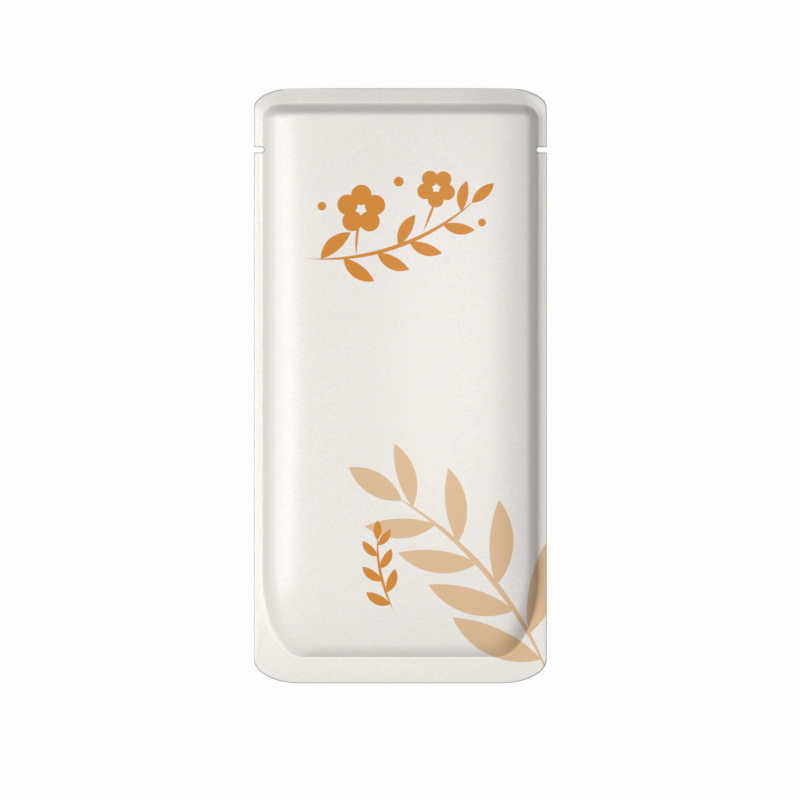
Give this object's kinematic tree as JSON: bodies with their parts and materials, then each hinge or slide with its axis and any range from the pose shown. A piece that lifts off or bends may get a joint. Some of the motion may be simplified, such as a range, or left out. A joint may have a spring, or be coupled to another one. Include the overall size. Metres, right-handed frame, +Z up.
{
  "type": "wet wipes pack",
  "caption": "Flat heat-sealed film sachet holding a folded wet towel, with round cut corners, a swollen middle and a tear notch in each long side. It lies on its back.",
  "frame": {"origin": "on the surface that the pack lies on, under the middle of its cut outline", "axes": "+Z up out of the front film, +Y along the pack towards the end with the tear notches, +X to the right when the front is looked at with the notches at the top"},
  "size_m": [0.09, 0.183, 0.0145],
  "materials": {
    "film": "matte white laminate film with flat printed colours"
  },
  "bodies": {
    "root": {"wipes_pouch": "film"}
  },
  "joints": []
}
